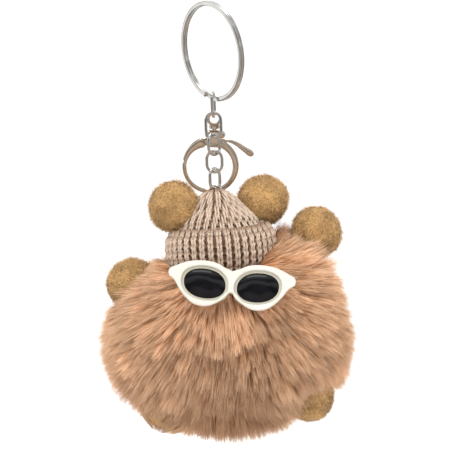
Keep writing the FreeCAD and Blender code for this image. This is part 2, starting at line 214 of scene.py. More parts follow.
def soft_material(name, stops, scale, sheen=0.3):
    """Plain cloth or felt under the fibres."""
    material, tree, shader = new_material(name, Roughness=0.9, Specular_IOR_Level=0.15)
    shader.inputs["Sheen Weight"].default_value = sheen
    grain = noise(tree, scale, 5.0)
    tree.links.new(ramp(tree, grain, stops), shader.inputs["Base Color"])
    bump(tree, shader, grain, 0.6, 0.0002)
    return material


def ivory_plastic(name, low, high):
    material, tree, shader = new_material(name, Specular_IOR_Level=0.5)
    shader.inputs["Coat Weight"].default_value = 0.25
    shader.inputs["Coat Roughness"].default_value = 0.25
    shader.inputs["Subsurface Weight"].default_value = 0.08
    shader.inputs["Subsurface Scale"].default_value = 0.0008
    stain = noise(tree, 140.0, 4.0)
    tree.links.new(
        ramp(tree, stain, [(0.3, low), (0.7, high)]),
        shader.inputs["Base Color"],
    )
    speckle = noise(tree, 1600.0, 4.0)
    roughness(tree, shader, speckle, 0.30, 0.42)
    bump(tree, shader, speckle, 0.05, 0.0001)
    return material


def black_lens():
    material, tree, shader = new_material("black_lens", Specular_IOR_Level=0.26, IOR=1.5)
    shader.inputs["Coat Weight"].default_value = 0.06
    shader.inputs["Coat Roughness"].default_value = 0.12
    haze = noise(tree, 300.0, 3.0)
    tree.links.new(
        ramp(tree, haze, [(0.3, (0.004, 0.004, 0.005)), (0.8, (0.009, 0.009, 0.011))]),
        shader.inputs["Base Color"],
    )
    roughness(tree, shader, haze, 0.05, 0.10)
    return material


NICKEL = polished_nickel("nickel", (0.84, 0.83, 0.81), (0.72, 0.71, 0.69), 0.06, 0.14)
# The clasp's nickel is tinted tan: painted reflection of warm surroundings, on top of the plating's own
# clouding.
CLASP_NICKEL = polished_nickel("clasp_nickel", (0.87, 0.78, 0.68), (0.71, 0.61, 0.51), 0.09, 0.18)
FUR = strand_material(
    "brown_fur",
    [
        (0.0, (0.15, 0.048, 0.018)),
        (0.35, (0.385, 0.150, 0.064)),
        (0.7, (0.70, 0.375, 0.19)),
        (1.0, (0.92, 0.65, 0.44)),
    ],
    0.1,
    0.55,
    (1.0, 0.85, 0.75),
)
FELT_FIBRE = strand_material(
    "mustard_fibre",
    [(0.0, (0.30, 0.155, 0.045)), (0.5, (0.53, 0.305, 0.11)), (1.0, (0.80, 0.54, 0.26))],
    0.3,
    0.8,
    (1.0, 0.9, 0.7),
)
# Along V the yarn runs from painted shade, where it dips into the knit, to its lit colour where it stands
# out.
YARN = strand_material(
    "oatmeal_yarn",
    [
        (0.15, (0.17, 0.09, 0.055)),
        (0.45, (0.40, 0.265, 0.185)),
        (0.7, (0.50, 0.36, 0.27)),
        (1.0, (0.70, 0.56, 0.45)),
    ],
    0.2,
    0.85,
    (1.0, 0.95, 0.9),
)
FELT = soft_material("mustard_felt", [(0.3, (0.30, 0.15, 0.045)), (0.7, (0.52, 0.30, 0.11))], 900.0)
# Dark shells just inside the hat's knitting: painted shade that shows through the gaps between the stitches.
KNIT_SHADE_LINER = soft_material("knit_shade_liner", [(0.3, (0.17, 0.10, 0.065)), (0.7, (0.27, 0.17, 0.115))], 700.0)
BACKING = soft_material("backing", [(0.3, (0.12, 0.04, 0.018)), (0.7, (0.24, 0.09, 0.045))], 800.0)
FILL = soft_material("polyester_fill", [(0.3, (0.72, 0.72, 0.70)), (0.7, (0.86, 0.86, 0.84))], 500.0)
THREAD = soft_material("thread", [(0.3, (0.50, 0.40, 0.30)), (0.7, (0.70, 0.60, 0.48))], 1500.0)
IVORY = ivory_plastic("ivory_plastic", (0.66, 0.645, 0.565), (0.72, 0.71, 0.64))
# A darker copy of the ivory for the step round each lens: painted shade of the recess round the lenses.
IVORY_SHADED_RIM = ivory_plastic("ivory_shaded_rim", (0.50, 0.46, 0.36), (0.57, 0.53, 0.43))
LENS = black_lens()


# ---------------------------------------------------------------- mesh helpers
def make_mesh(name, verts, faces, material, uv=None, smooth=True):
    """A mesh object from arrays: verts in mm, faces an (n, 3 or 4) array."""
    verts = np.asarray(verts, np.float32) * MM
    faces = np.asarray(faces, np.int32)
    count, sides = faces.shape
    mesh = bpy.data.meshes.new(name)
    mesh.vertices.add(len(verts))
    mesh.vertices.foreach_set("co", verts.ravel())
    mesh.loops.add(count * sides)
    mesh.loops.foreach_set("vertex_index", faces.ravel())
    mesh.polygons.add(count)
    mesh.polygons.foreach_set("loop_start", np.arange(count, dtype=np.int32) * sides)
    mesh.polygons.foreach_set("loop_total", np.full(count, sides, np.int32))
    mesh.polygons.foreach_set("use_smooth", np.full(count, smooth))
    if uv is not None:
        layer = mesh.uv_layers.new(name="OFBake")
        layer.data.foreach_set("uv", np.asarray(uv, np.float32)[faces.ravel()].ravel())
    mesh.update()
    mesh.validate()
    mesh.materials.append(material)
    obj = bpy.data.objects.new(name, mesh)
    bpy.context.scene.collection.objects.link(obj)
    return obj


def frames_along(points, closed):
    """Tangents and two normals along a path, carried without twisting."""
    if closed:
        tangents = unit(np.roll(points, -1, 0) - np.roll(points, 1, 0))
    else:
        tangents = unit(np.gradient(points, axis=0))
    side = np.cross(tangents[0], [0.31, 0.62, 0.72])
    normals = np.empty_like(points)
    for step, tangent in enumerate(tangents):
        side = side - tangent * side.dot(tangent)
        side = side / np.linalg.norm(side)
        normals[step] = side
    return tangents, normals, np.cross(tangents, normals)


def tube_arrays(points, radius, sides, closed):
    """Vertices, quads and UVs of a round tube; radius may be a list."""
    points = np.asarray(points, float)
    _, one, other = frames_along(points, closed)
    radius = np.broadcast_to(radius, len(points))[:, None, None]
    turn = np.linspace(0, 2 * math.pi, sides, endpoint=False)
    ring = np.cos(turn)[None, :, None] * one[:, None] + np.sin(turn)[None, :, None] * other[:, None]
    verts = (points[:, None] + radius * ring).reshape(-1, 3)
    spans = len(points) if closed else len(points) - 1
    i = np.arange(spans)[:, None] * sides
    j = (np.arange(spans)[:, None] + 1) % len(points) * sides
    a = np.arange(sides)[None]
    b = (a + 1) % sides
    quads = np.stack([i + a, i + b, j + b, j + a], -1).reshape(-1, 4)
    return verts, quads


def join_arrays(parts):
    """Several (verts, faces, uv) as one."""
    verts, faces, uvs, start = [], [], [], 0
    for part in parts:
        verts.append(part[0])
        faces.append(part[1] + start)
        uvs.append(part[2] if len(part) > 2 else np.zeros((len(part[0]), 2)))
        start += len(part[0])
    return np.concatenate(verts), np.concatenate(faces), np.concatenate(uvs)


def solid_tube(name, points, radius, sides, material, closed):
    """A tube piece; an open one is closed by rounded ends."""
    if not closed:
        points, radius = rounded_ends(points, radius)
    verts, quads = tube_arrays(points, radius, sides, closed)
    obj = make_mesh(name, verts, quads, material)
    if not closed:
        mesh = bmesh.new()
        mesh.from_mesh(obj.data)
        bmesh.ops.holes_fill(mesh, edges=[edge for edge in mesh.edges if edge.is_boundary], sides=0)
        mesh.to_mesh(obj.data)
        mesh.free()
    return obj


def rounded_ends(points, radius):
    """Adds hemispherical end stations to an open path."""
    points = np.asarray(points, float)
    radius = np.broadcast_to(radius, len(points)).astype(float)
    first, last = unit(points[0] - points[1]), unit(points[-1] - points[-2])
    turns = np.radians([85, 60, 35])
    head = [points[0] + first * radius[0] * math.sin(t) for t in turns]
    tail = [points[-1] + last * radius[-1] * math.sin(t) for t in turns[::-1]]
    head_r = [radius[0] * math.cos(t) for t in turns]
    tail_r = [radius[-1] * math.cos(t) for t in turns[::-1]]
    return np.array(head + list(points) + tail), np.array(head_r + list(radius) + tail_r)


def shade_by_angle(obj, degrees):
    mesh = obj.data
    mesh.polygons.foreach_set("use_smooth", np.ones(len(mesh.polygons), bool))
    mesh.set_sharp_from_angle(angle=math.radians(degrees))


# ---------------------------------------------------------------- metal
def close_mesh(mesh):
    """Fills a mesh's open ends and turns all its faces outward."""
    work = bmesh.new()
    work.from_mesh(mesh)
    bmesh.ops.holes_fill(work, edges=[edge for edge in work.edges if edge.is_boundary], sides=0)
    bmesh.ops.recalc_face_normals(work, faces=work.faces)
    work.to_mesh(mesh)
    work.free()


def round_mesh(name, subdivisions):
    """An even sphere mesh, and each of its points' direction from the middle."""
    work = bmesh.new()
    bmesh.ops.create_icosphere(work, subdivisions=subdivisions, radius=1.0)
    mesh = bpy.data.meshes.new(name)
    work.to_mesh(mesh)
    work.free()
    co = np.zeros(len(mesh.vertices) * 3)
    mesh.vertices.foreach_get("co", co)
    return mesh, unit(co.reshape(-1, 3))


def key_ring():
    """The split ring: two flat coils with rounded edges that step at their ends."""
    low, high = corners("key_ring")
    contact, tangent = hinge("ring_link_swing")
    centre = (low + high) / 2
    outward = unit(contact - centre)
    outward = unit(outward - tangent * outward.dot(tangent))
    normal = np.cross(outward, tangent)
    radius = np.linalg.norm(contact - centre)
    band, coil, edge = 1.6, 0.78, 0.24
    start, end = math.radians(14), 2 * math.pi * 2 - math.radians(14)
    count = 420
    turns = np.linspace(start, end, count)
    jog = 1 / (1 + np.exp(-(turns - 2 * math.pi) / math.radians(4.5)))
    across = (jog - 0.5) * coil * 1.03
    out = outward * np.cos(turns)[:, None] + tangent * np.sin(turns)[:, None]
    points = centre + out * radius + normal * across[:, None]
    outline = []
    for cx, cy, first in ((1, 1, 0), (-1, 1, 90), (-1, -1, 180), (1, -1, 270)):
        for degrees in (0, 30, 60, 90):
            turn = math.radians(first + degrees)
            outline.append(
                (
                    cx * (band / 2 - edge) + edge * math.cos(turn),
                    cy * (coil / 2 - edge) + edge * math.sin(turn),
                )
            )
    outline = np.array(outline)
    verts = points[:, None] + out[:, None] * outline[None, :, :1] + normal * outline[None, :, 1:]
    sides = len(outline)
    i = np.arange(count - 1)[:, None] * sides
    a = np.arange(sides)[None]
    b = (a + 1) % sides
    quads = np.stack([i + a, i + b, i + sides + b, i + sides + a], -1).reshape(-1, 4)
    obj = make_mesh("split_ring", verts.reshape(-1, 3), quads, NICKEL)
    close_mesh(obj.data)
    shade_by_angle(obj, 40)
    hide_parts("key_ring")
    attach(obj, "key_ring")


def link(node, high_joint_point, low_point, across, body, width=4.8, wire=0.5, lift=1.12):
    """An oval wire link hung between two hinge points, with its butt joint."""
    up = unit(high_joint_point - low_point)
    across = unit(across - up * np.dot(across, up))
    radius = width / 2
    length = np.linalg.norm(high_joint_point - low_point) + lift
    arc = np.linspace(0, math.pi, 25)
    top = [(-math.cos(t) * -radius, length - radius + math.sin(t) * radius) for t in arc]
    bottom = [(-math.cos(t) * radius, radius - math.sin(t) * radius) for t in arc]
    sides = np.linspace(0, 1, 9)[1:-1]
    right = [(radius, radius + (length - 2 * radius) * s) for s in sides]
    left = [(-radius, length - radius - (length - 2 * radius) * s) for s in sides]
    flat = np.array(right + top + left + bottom)
    points = low_point + flat[:, :1] * across + flat[:, 1:] * up
    roll = len(right) // 2
    points = np.roll(points, -roll, axis=0)
    gap = 0.02
    points = np.vstack([points, points[:1] + (points[-1] - points[0]) * gap])
    points[0] = points[0] + (points[1] - points[0]) * gap
    radii = np.full(len(points), wire)
    obj = solid_tube(node + "_wire", points, radii, 20, NICKEL, closed=False)
    shade_by_angle(obj, 50)
    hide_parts(node)
    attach(obj, body)


def chain():
    ring_point, _ = hinge("ring_link_swing")
    front, across = hinge("chain_1_swing")
    back, _ = hinge("clasp_swing")
    low = (front + back) / 2 - np.array([0, 0, 0.12])
    _, high_corner = corners("ring_link")
    top = np.array([ring_point[0], ring_point[1], high_corner[2] - 0.5])
    link("ring_link", top, low, across, "ring_link", wire=0.46, lift=0.0)
    names = ["chain_1_swing", "chain_2_swing", "chain_3_swing", "chain_4_swing", "plush_swing"]
    for step in range(1, 5):
        high, _ = hinge(names[step - 1])
        low, across = hinge(names[step])
        link(f"chain_link_{step}", high, low, across, f"chain_link_{step}")
    low, high = corners("anchor_ring")
    centre = (low + high) / 2
    top, _ = hinge("plush_swing")
    across = unit([math.cos(math.radians(-10)), math.sin(math.radians(-10)), 0])
    turns = np.linspace(0, 2 * math.pi, 48, endpoint=False)
    points = centre + 1.9 * (np.cos(turns)[:, None] * across + np.sin(turns)[:, None] * np.array([0, 0, 1]))
    obj = solid_tube("anchor_loop", points, 0.45, 16, NICKEL, closed=True)
    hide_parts("anchor_ring")
    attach(obj, "plush")


def turned(degrees, axis):
    return np.array(Matrix.Rotation(math.radians(degrees), 3, axis))


CLASP_TURN = turned(2.7, "Y") @ turned(15.0, "X")
CLAW_CENTRE = np.array([CLAW_X, 0.0, -16.2])
CLAW_RADIUS = CLAW_SIZE - 0.75
GATE_PIN = np.array([0.8, 0.0, -8.1])
NOSE_REACH = 12.4
NOSE_GAP = 0.12


def clasp_points(local):
    """Points of the clasp's own frame (swivel axis Z, claw in XZ) in the row's frame."""
    base, _ = hinge("clasp_swing")
    return base + np.asarray(local, float) @ CLASP_TURN.T


def on_claw(degrees, radius=CLAW_RADIUS):
    turn = np.radians(np.asarray(degrees, float))
    return CLAW_CENTRE + radius * np.stack([np.cos(turn), 0 * turn, np.sin(turn)], -1)


def bevelled(verts, nose):
    """Slides a tip's points back to the arc about the gate's pin that the nose and the claw share."""
    rays = verts - GATE_PIN
    reach = np.hypot(rays[:, 0], rays[:, 2])
    tip = verts[:, 0] < -6.0
    limit = NOSE_REACH if nose else NOSE_REACH + NOSE_GAP
    wrong = tip & ((reach > limit) if nose else ((reach < limit) & (verts[:, 2] > -17.5)))
    scale = np.where(wrong, limit / reach, 1.0)[:, None]
    return GATE_PIN + rays * np.where([[1, 0, 1]], scale, 1.0)


def cast_arm(points, widths, depths, sides=20):
    """A cast arm in the clasp's XZ plane: oval sections, rounded at both ends."""
    points = np.asarray(points, float)
    widths = np.asarray(widths, float)
    depths = np.asarray(depths, float)
    along = unit(np.gradient(points, axis=0))
    ends = []
    for end, way in ((0, -1), (-1, 1)):
        for turn in (35, 60, 82):
            lift, size = math.sin(math.radians(turn)), math.cos(math.radians(turn))
            reach = min(widths[end], depths[end]) / 2
            ends.append((end, points[end] + way * along[end] * reach * lift, size))
    head = ends[:3][::-1]
    tail = ends[3:]
    stations = [(point, along[0], widths[0] * size, depths[0] * size) for _, point, size in head]
    stations += list(zip(points, along, widths, depths))
    stations += [(point, along[-1], widths[-1] * size, depths[-1] * size) for _, point, size in tail]
    turns = np.linspace(0, 2 * math.pi, sides, endpoint=False)
    verts = []
    for point, way, width, depth in stations:
        out = np.cross(way, [0, 1, 0])
        ring = np.cos(turns)[:, None] * out * width / 2 + np.sin(turns)[:, None] * np.array([0, depth / 2, 0])
        verts.append(point + ring)
    i = np.arange(len(stations) - 1)[:, None] * sides
    a = np.arange(sides)[None]
    b = (a + 1) % sides
    quads = np.stack([i + a, i + b, i + sides + b, i + sides + a], -1).reshape(-1, 4)
    return np.concatenate(verts), quads


def clasp_piece(name, parts, node, body):
    faces = [(part[0], np.array(part[1])) for part in parts]
    verts, quads, _ = join_arrays(faces)
    mesh = bpy.data.meshes.new(name)
    rings = [list(dict.fromkeys(ring)) for ring in quads.tolist()]
    mesh.from_pydata([tuple(v) for v in clasp_points(verts) * MM], [], rings)
    mesh.materials.append(CLASP_NICKEL)
    obj = bpy.data.objects.new(name, mesh)
    bpy.context.scene.collection.objects.link(obj)
    close_mesh(mesh)
    shade_by_angle(obj, 45)
    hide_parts(node)
    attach(obj, body)


def clasp():
    angles = np.linspace(-188, 66, 60)
    part = (angles + 188) / 254
    verts, quads = cast_arm(on_claw(angles), 1.35 + 1.25 * part**2.2, 1.4 + 0.9 * part**2)
    claw = (bevelled(verts, False), quads)
    bar = np.linspace(0, 1, 12)[:, None]
    top = np.array([-1.9, 0, -5.6]) + bar * np.array([4.1, 0, -0.3])
    boss = [cast_arm(top, np.full(12, 2.6), np.full(12, 2.7))]
    for depth in (-1.02, 1.02):
        side = np.array([-1.5, depth, -7.8]) + bar * np.array([3.3, 0, -0.2])
        boss.append(cast_arm(side, np.full(12, 3.9), np.full(12, 0.62)))
    clasp_piece("clasp_claw", [claw] + boss, "clasp_body", "clasp_body")
    angles = np.linspace(173, 107, 28)
    part = (173 - angles) / 66
    verts, quads = cast_arm(on_claw(angles), 1.3 + 2.1 * part**1.3, 1.35 + 1.0 * part)
    arm = (bevelled(verts, True), quads)
    inner = np.linspace(110, 84, 10)
    web = cast_arm(on_claw(inner), np.full(10, 2.6), np.full(10, 1.15))
    lever_line = [(0.8, -8.1), (2.4, -7.9), (4.3, -8.0), (5.8, -8.5)]
    lever_line += [(7.4, -9.4), (9.2, -10.8), (10.7, -11.9)]
    line = smooth_path(np.array([(x, 0, z) for x, z in lever_line]), 6)
    part = np.linspace(0, 1, len(line))
    lever = cast_arm(line, 1.5 - 0.5 * bell(part, 0.35, 0.3) + 0.55 * part**3, 1.15 + 0.85 * part**2)
    knob_sizes = [2.1, 2.35, 2.1]
    knob = cast_arm([(10.4, 0, -11.7), (10.9, 0, -12.05), (11.3, 0, -12.35)], knob_sizes, knob_sizes)
    clasp_piece("clasp_trigger", [arm, web, lever, knob], "clasp_gate", "clasp_gate")
    for node in ("clasp_swivel_eye", "clasp_pin", "clasp_spring"):
        obj = frame["nodes"][node]
        obj.data.materials.clear()
        obj.data.materials.append(CLASP_NICKEL)


# ---------------------------------------------------------------- plush frame
backing_low, backing_high = corners("fur_backing")
HALF_WIDTH = (backing_high[0] - backing_low[0]) / 2
SHAPE = np.array([1.0, 0.867, 0.794])
CENTRE = (backing_low + backing_high) / 2
CENTRE[2] = backing_low[2] + HALF_WIDTH * SHAPE[2]
POMS = ["left_ear", "right_ear", "left_hand", "right_hand", "left_foot", "right_foot"]


def mid(node):
    low, high = corners(node)
    return (low + high) / 2


def value_noise(points, scale, seed):
    """A smooth repeatable noise of 3-D points, about -1 to 1, as a sum of waves."""
    waves = np.random.default_rng(seed)
    total = np.zeros(len(points))
    for _ in range(10):
        direction = unit(waves.normal(size=3)) * scale * waves.uniform(0.6, 1.6)
        total += np.sin(points @ direction + waves.uniform(0, 6.28))
    return total / 3.2


def ribbons(name, paths, widths, sides, tones, material):
    """Flat tapered fibres. paths (n, s, 3), widths (n, s), sides (n, 3), tones (n,)."""
    count, steps, _ = paths.shape
    tangent = unit(np.gradient(paths, axis=1))
    across = unit(np.cross(tangent, sides[:, None]))
    half = widths[:, :, None] * across / 2
    verts = np.stack([paths - half, paths + half], 2).reshape(-1, 3)
    base = (np.arange(count) * steps * 2)[:, None] + np.arange(steps - 1)[None] * 2
    quads = np.stack([base, base + 1, base + 3, base + 2], -1).reshape(-1, 4)
    along = np.broadcast_to(np.linspace(0.02, 0.98, steps)[None, :, None], (count, steps, 2))
    tone = np.broadcast_to(np.clip(tones, 0.02, 0.98)[:, None, None], (count, steps, 2))
    uv = np.stack([tone, along], -1).reshape(-1, 2)
    return make_mesh(name, verts, quads, material, uv)


def felt_ball(node):
    """A felted pom: an uneven core under thousands of short curled fibres."""
    centre = mid(node)
    seed = POMS.index(node)
    draws = np.random.default_rng(100 + seed)
    obj_mesh, directions = round_mesh(node + "_felt", 5)

    def surface(directions):
        lumps = 0.22 * value_noise(directions, 2.8, seed) + 0.12 * value_noise(directions, 8.0, seed + 50)
        return 7.65 + lumps

    obj_mesh.vertices.foreach_set(
        "co", ((centre + directions * surface(directions)[:, None]) * MM).ravel()
    )
    obj_mesh.materials.append(FELT)
    obj = bpy.data.objects.new(node + "_felt", obj_mesh)
    bpy.context.scene.collection.objects.link(obj)
    shade_by_angle(obj, 180)
    count, steps = 18000, 4
    out = unit(draws.normal(size=(count, 3)))
    sweep = unit(np.cross(out, draws.normal(size=(count, 3))))
    lift = draws.beta(1.3, 3.6, count) * 0.8 + 0.05
    lean = unit(out * lift[:, None] + sweep * (1 - lift)[:, None])
    curl = unit(np.cross(out, lean)) * draws.uniform(-0.6, 0.6, count)[:, None]
    length = draws.uniform(1.1, 2.6, count)
    s = np.linspace(0, 1, steps)[None, :, None]
    root = centre + out * (surface(out) - 0.12)[:, None]
    reach = length[:, None, None]
    bend = curl[:, None] * s**2 * 0.8 - out[:, None] * s**2 * 0.25
    paths = root[:, None] + reach * (lean[:, None] * s + bend)
    widths = np.array([0.17, 0.16, 0.13, 0.06])[None] * draws.uniform(0.7, 1.2, count)[:, None]
    blotches_and_shade = 0.5 + 0.30 * value_noise(out, 7.0, seed + 20) + 0.26 * value_noise(out, 22.0, seed + 70)
    # Painted light and shade: fibres facing up are lighter and those facing down darker; the rest of the tone
    # is random blotches.
    blotches_and_shade = blotches_and_shade + 0.16 * out @ unit([-0.3, -0.2, 0.9]) + draws.normal(0, 0.16, count)
    fuzz = ribbons(node + "_fuzz", paths, widths, out, blotches_and_shade, FELT_FIBRE)
    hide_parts(node)
    for piece in (obj, fuzz):
        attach(piece, "plush")


def fur_skin():
    """The knitted backing under the fur: a stuffed ball with shallow gathers, dented by the felt balls."""
    mesh, out = round_mesh("fur_skin", 6)
    turn = np.arctan2(out[:, 1], out[:, 0])
    gathers = 0.012 * np.cos(14 * turn) * np.clip(np.abs(out[:, 2]) - 0.3, 0, 1)
    puckers = 0.006 * value_noise(out, 9.0, 77)
    points = CENTRE + out * SHAPE * HALF_WIDTH * (0.985 + gathers + puckers)[:, None]
    points[:, 2] = np.minimum(points[:, 2], backing_high[2])
    for node in POMS:
        away = points - mid(node)
        distance = np.linalg.norm(away, axis=1)
        points += away * (np.maximum(7.9, distance) / distance - 1)[:, None]
    mesh.vertices.foreach_set("co", (points * MM).ravel())
    mesh.materials.append(BACKING)
    obj = bpy.data.objects.new("fur_skin", mesh)
    bpy.context.scene.collection.objects.link(obj)
    shade_by_angle(obj, 180)
    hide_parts("fur_backing")
    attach(obj, "plush")


# ---------------------------------------------------------------- sunglasses
LENS_MIDS = mid("left_lens"), mid("right_lens")
HALF_RIM = [
    (0.2, 4.5), (2.3, 5.3), (4.8, 6.5), (7.8, 7.0), (10.9, 6.9), (14.2, 6.2), (17.6, 4.7),
    (19.0, 3.9), (19.5, 2.9), (19.2, 1.7), (18.2, 1.0), (17.2, 0.0), (15.9, -2.0), (14.0, -4.3),
    (11.6, -6.2), (8.7, -7.0), (5.9, -6.6), (3.1, -5.0), (1.2, -3.0), (0.2, -2.3),
]
LENS_CENTRE = 8.15


def glasses_axes():
    """The sunglasses' own right, back and up directions, from the two lenses."""
    right = unit(LENS_MIDS[1] - LENS_MIDS[0])
    lean = math.radians(-14)
    back = np.array([0, math.cos(lean), math.sin(lean)])
    back = unit(back - right * back.dot(right))
    return right, back, np.cross(right, back)


def eye_points(side, grow, count=48):
    wide, high = 6.45 + grow, 4.65 + grow
    points = []
    for turn in np.linspace(0, 2 * math.pi, count, endpoint=False):
        c, s = math.cos(turn), math.sin(turn)
        power = 0.92
        x = wide * math.copysign(abs(c) ** power, c) + 0.10 * wide * s * side
        z = high * math.copysign(abs(s) ** power, s)
        points.append((side * LENS_CENTRE + x, z))
    return points


def smooth_outline(points, per_span=6):
    """A closed Catmull-Rom curve through the points."""
    p = np.array(points, float)
    before, after, later = np.roll(p, 1, 0), np.roll(p, -1, 0), np.roll(p, -2, 0)
    spans = []
    for t in np.linspace(0, 1, per_span, endpoint=False):
        spans.append(
            0.5
            * (
                2 * p
                + (after - before) * t
                + (2 * before - 5 * p + 4 * after - later) * t**2
                + (3 * p - before - 3 * after + later) * t**3
            )
        )
    return np.stack(spans, 1).reshape(-1, 2)


def curve_solid(name, outlines, depth, edge, material):
    """A plate with rounded edges from closed outlines; the inner ones are holes."""
    curve = bpy.data.curves.new(name, "CURVE")
    curve.dimensions = "2D"
    curve.fill_mode = "BOTH"
    curve.extrude = (depth / 2 - edge) * MM
    curve.bevel_depth = edge * MM
    curve.bevel_resolution = 5
    curve.offset = -edge * MM
    for outline in outlines:
        spline = curve.splines.new("POLY")
        spline.points.add(len(outline) - 1)
        flat = [(x * MM, z * MM, 0, 1) for x, z in outline]
        spline.points.foreach_set("co", np.array(flat, np.float32).ravel())
        spline.use_cyclic_u = True
    temp = bpy.data.objects.new(name + "_curve", curve)
    bpy.context.scene.collection.objects.link(temp)
    bpy.context.view_layer.update()
    mesh = bpy.data.meshes.new_from_object(temp.evaluated_get(bpy.context.evaluated_depsgraph_get()))
    bpy.data.objects.remove(temp)
    bpy.data.curves.remove(curve)
    mesh.name = name
    mesh.materials.clear()
    mesh.materials.append(material)
    obj = bpy.data.objects.new(name, mesh)
    bpy.context.scene.collection.objects.link(obj)
    work = bmesh.new()
    work.from_mesh(mesh)
    bmesh.ops.remove_doubles(work, verts=work.verts, dist=0.00001)
    bmesh.ops.recalc_face_normals(work, faces=work.faces)
    work.to_mesh(mesh)
    work.free()
    return obj


def place_glasses(obj, centre, axes, depth):
    """Turns a plate drawn in XY so that it lies in the sunglasses' plane."""
    right, back, up = axes
    matrix = Matrix(
        (
            (right[0], up[0], -back[0], 0),
            (right[1], up[1], -back[1], 0),
            (right[2], up[2], -back[2], 0),
            (0, 0, 0, 1),
        )
    )
    obj.data.transform(matrix)
    obj.data.transform(Matrix.Translation(Vector((centre + back * depth) * MM)))


def sunglasses():
    axes = glasses_axes()
    _, back, _ = axes
    middle = (LENS_MIDS[0] + LENS_MIDS[1]) / 2
    face = middle - back * 0.1
    rim = HALF_RIM + [(-x, z) for x, z in HALF_RIM[::-1]]
    outline = smooth_outline(rim)
    front = curve_solid(
        "sunglasses_front", [outline, eye_points(-1, 0.75), eye_points(1, 0.75)], 2.2, 0.5, IVORY
    )
    place_glasses(front, face, axes, 0.2)
    # The step round each lens is made in the darker ivory: painted shade in the recess.
    step = curve_solid(
        "sunglasses_rim",
        [eye_points(-1, 1.3), eye_points(-1, -0.4), eye_points(1, 1.3), eye_points(1, -0.4)],
        1.2,
        0.2,
        IVORY_SHADED_RIM,
    )
    place_glasses(step, face, axes, 0.75)
    shade_by_angle(front, 50)
    shade_by_angle(step, 50)
    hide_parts("sunglasses_frame")
    for piece in (front, step):
        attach(piece, "plush")
    for side, node in ((-1, "left_lens"), (1, "right_lens")):
        lens(node, side, face, axes)
    pads = frame["nodes"]["glue_pads"]
    pads.data.materials.clear()
    pads.data.materials.append(FILL)


def lens(node, side, face, axes):
    """A domed lens: rings of the eye's outline rising to a rounded middle."""
    rim = np.array(eye_points(side, 0.15, 96))
    centre = np.array([side * LENS_CENTRE, 0.0])
    verts, count, rings = [], len(rim), 18
    for ring in range(rings):
        t = 1 - ring / (rings - 1) * 0.985
        flat = centre + (rim - centre) * t
        height = 1.25 * (1 - t**2.6) + 0.1
        verts.append(middle_to_row(flat, height, face, axes))
    skirt = middle_to_row(rim, -0.5, face, axes)
    verts = np.concatenate([skirt] + verts)
    quads = []
    for ring in range(rings):
        for a in range(count):
            b = (a + 1) % count
            low, high = ring * count, (ring + 1) * count
            quads.append((low + a, low + b, high + b, high + a))
    obj = make_mesh(node + "_dome", verts, quads, LENS)
    close_mesh(obj.data)
    shade_by_angle(obj, 60)
    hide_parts(node)
    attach(obj, "plush")


def middle_to_row(flat, height, face, axes):
    right, back, up = axes
    return face + flat[:, :1] * right + flat[:, 1:] * up + back * (0.35 - height)


# ---------------------------------------------------------------- knit hat
cuff_low, cuff_high = corners("hat_cuff")
HAT_X, HAT_Y = ((cuff_low + cuff_high) / 2)[:2]
HAT_Z = cuff_low[2]


def knit_course(radius, height, stitches, rise, depth, tone, yarn, sides=6, samples=14):
    """One course of knitting: a looped two-ply yarn round the hat.

    radius and height are functions of the turn, so that rims can roll and wave."""
    count = int(stitches * samples)
    t = np.arange(count) / samples
    p = 2 * math.pi * t
    turn = 2 * math.pi * (t + 0.12 * np.sin(2 * p) + 0.10 * np.sin(p)) / stitches
    level = -rise * np.cos(p)
    out = -depth * np.cos(2 * p)
    wobble = rng.normal(0, 0.05, int(stitches) + 1)
    level = level + np.interp(t, np.arange(int(stitches) + 1), wobble)
    r = radius(turn, level) + out
    points = np.stack(
        [HAT_X + r * np.cos(turn), HAT_Y + r * np.sin(turn), height(turn) + level], 1
    )
    _, one, other = frames_along(points, True)
    steps = np.concatenate([[0], np.cumsum(np.linalg.norm(np.diff(points, axis=0), axis=1))])
    twists = max(1, round(steps[-1] / (yarn * 5.5)))
    angle = steps / steps[-1] * 2 * math.pi * twists
    parts = []
    for ply in (0, math.pi):
        offset = np.cos(angle + ply)[:, None] * one + np.sin(angle + ply)[:, None] * other
        strand = points + offset * yarn * 0.48
        verts, quads = tube_arrays(strand, yarn * 0.62, sides, True)
        # V is painted shade: darker where the yarn dips into the knit, lighter where it stands out.
        light = np.repeat(np.clip(0.58 + out / depth * 0.4 + rng.normal(0, 0.04, count), 0.02, 0.98), sides)
        shade = np.full(len(verts), np.clip(tone + rng.normal(0, 0.05), 0.02, 0.98))
        parts.append((verts, quads, np.stack([shade, light], 1)))
    return join_arrays(parts)


def crown_radius(height):
    """The crown's radius at a height above the cuff's lower edge."""
    heights = [0, 11.0, 13.4, 16.1, 17.4, 19.9, 23.1, 24.6, 25.6]
    radii = [14.2, 14.2, 13.7, 12.3, 11.2, 8.9, 6.1, 4.4, 2.6]
    return np.interp(height, heights, radii)


def back_dent(turn, height):
    """How far the crown's back is pulled in, so that the swinging claw passes behind it."""
    return 1.5 * np.clip(1.6 * np.sin(turn), 0, 1) * np.clip((height - 12.5) / 3.5, 0, 1)


def revolve(name, profile, material, segments=96):
    """A shell turned from (radius, height) points, with the crown's back dent taken out; its first and last
    rings are left open.
    """
    turn = np.linspace(0, 2 * math.pi, segments, endpoint=False)
    rings = []
    for r, h in profile:
        dented = np.maximum(r - back_dent(turn, h), 0.4)
        level = np.full(segments, HAT_Z + h)
        rings.append(
            np.stack([HAT_X + dented * np.cos(turn), HAT_Y + dented * np.sin(turn), level], 1)
        )
    verts = np.concatenate(rings)
    quads = []
    for ring in range(len(profile) - 1):
        for a in range(segments):
            b = (a + 1) % segments
            low, high = ring * segments, (ring + 1) * segments
            quads.append((low + a, low + b, high + b, high + a))
    return make_mesh(name, verts, quads, material)


